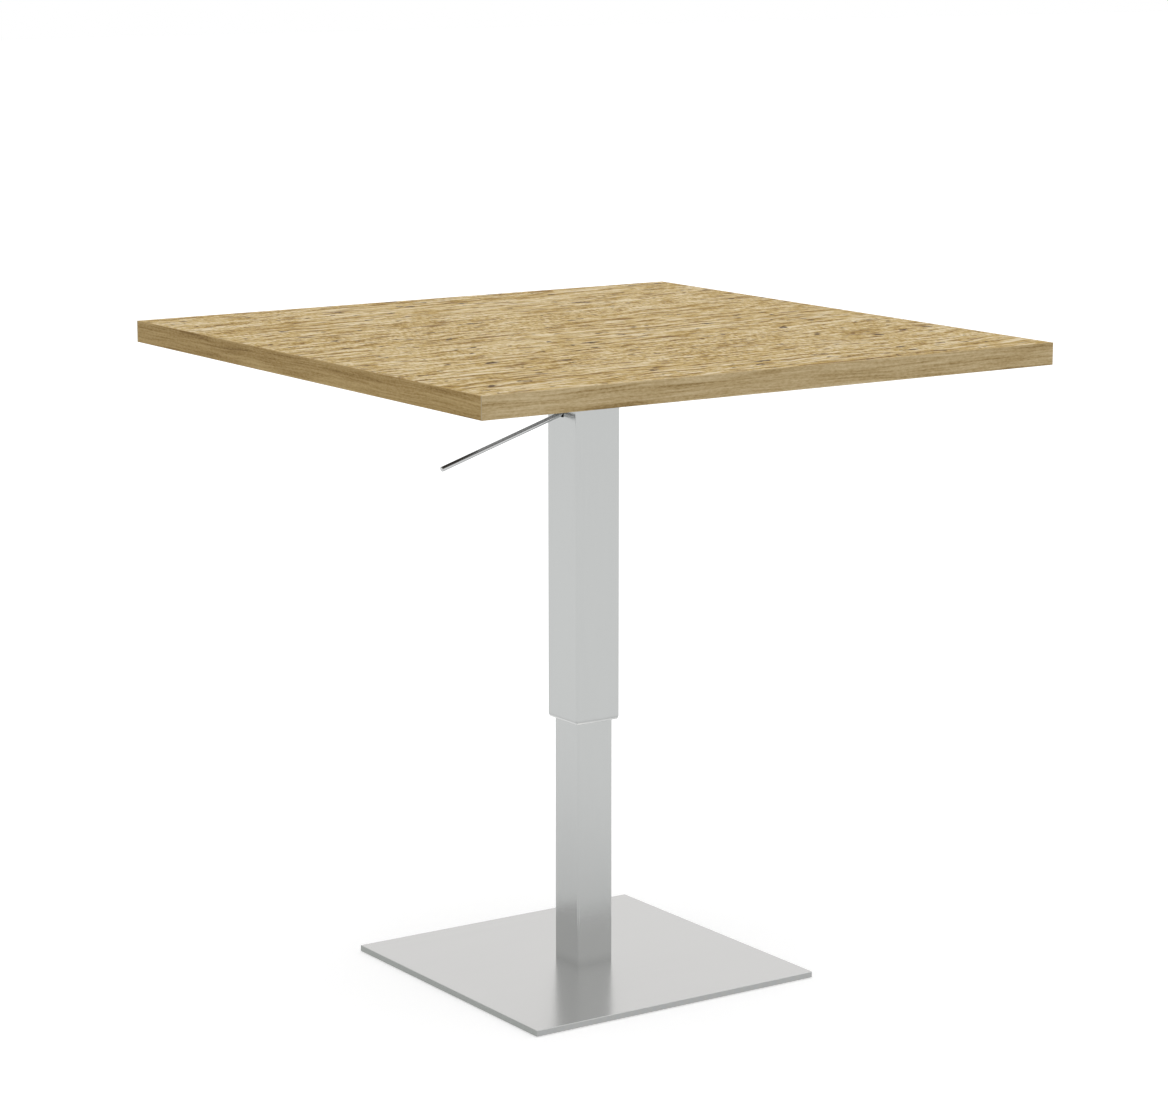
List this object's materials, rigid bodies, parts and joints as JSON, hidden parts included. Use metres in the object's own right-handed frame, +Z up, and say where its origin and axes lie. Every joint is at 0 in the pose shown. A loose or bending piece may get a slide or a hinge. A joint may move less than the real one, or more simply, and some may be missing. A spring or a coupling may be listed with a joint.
{
  "type": "telescoping pedestal table",
  "caption": "Square oak-topped pedestal table on a telescoping square steel column with a flat base plate; a lever releases a locking gas spring to set the height.",
  "frame": {"origin": "on the floor, under the middle of the base plate", "axes": "+Z up; the release lever points to -X; the tabletop's edges run along X and Y"},
  "size_m": [0.9, 0.9, 0.9],
  "materials": {
    "oak_face": "light natural oak veneer, matt lacquer",
    "oak_edge": "oak edge band, matt lacquer",
    "particle_board": "raw particle board",
    "balancing_sheet": "dark brown backing laminate",
    "satin_stainless_tube": "satin ground lengthwise",
    "satin_stainless_plate": "satin ground",
    "zinc_steel": "zinc plated",
    "bright_steel": "stainless rod, polished",
    "polished_chrome": "polished chrome plate",
    "grey_powder_coat": "fine texture powder coat",
    "black_lacquer": "gloss lacquer",
    "black_acetal": "turned and moulded acetal",
    "grey_nylon": "moulded nylon",
    "black_rubber": "moulded rubber",
    "piston_brass": "turned"
  },
  "bodies": {
    "floor_stand": {"base_plate": "satin_stainless_plate", "base_glides": "grey_nylon", "column_foot_block": "zinc_steel", "column_foot_screws": "zinc_steel", "inner_column": "satin_stainless_tube", "upper_guide_bush": "black_acetal", "gas_spring_seat": "zinc_steel", "gas_spring_base_nut": "zinc_steel", "gas_spring_cylinder": "black_lacquer", "gas_spring_rod_guide": "zinc_steel", "gas_spring_rod_seal": "black_rubber"},
    "lifting_top": {"outer_column": "satin_stainless_tube", "lower_guide_bush": "black_acetal", "bridge_plate": "zinc_steel", "rod_lock_nut": "zinc_steel", "lift_stop_buffer": "black_rubber", "gas_spring_rod": "polished_chrome", "gas_spring_piston": "piston_brass", "gas_spring_piston_ring": "black_rubber", "release_head": "zinc_steel", "lever_pivot_pin": "zinc_steel", "pivot_pin_clips": "zinc_steel", "top_plate": "grey_powder_coat", "top_plate_screws": "zinc_steel", "tabletop_back_veneer": "balancing_sheet", "tabletop_core": "particle_board", "tabletop_face_veneer": "oak_face", "edge_band_right": "oak_edge", "edge_band_back": "oak_edge", "edge_band_left": "oak_edge", "edge_band_front": "oak_edge"},
    "release_lever": {"lever_arm": "zinc_steel", "lever_rod": "bright_steel"},
    "release_plunger": {"release_pin": "polished_chrome"}
  },
  "joints": [
    {"name": "column_lift", "type": "slide", "parent": "floor_stand", "child": "lifting_top", "axis": [0, 0, 1], "range_m": [-0.18, 0.1]},
    {"name": "lever_lift", "type": "hinge", "parent": "lifting_top", "child": "release_lever", "pos_m": [-0.017, 0, 0.79565], "axis": [0, 1, 0], "range_deg": [0, 9], "stiffness_Nm_per_rad": 5, "springref_deg": -5.73},
    {"name": "release_pin_travel", "type": "slide", "parent": "lifting_top", "child": "release_plunger", "axis": [0, 0, -1], "range_m": [0, 0.0028]}
  ],
  "couplings": [
    {"joint": "release_pin_travel", "follows": "lever_lift", "m_per_rad": 0.017}
  ]
}
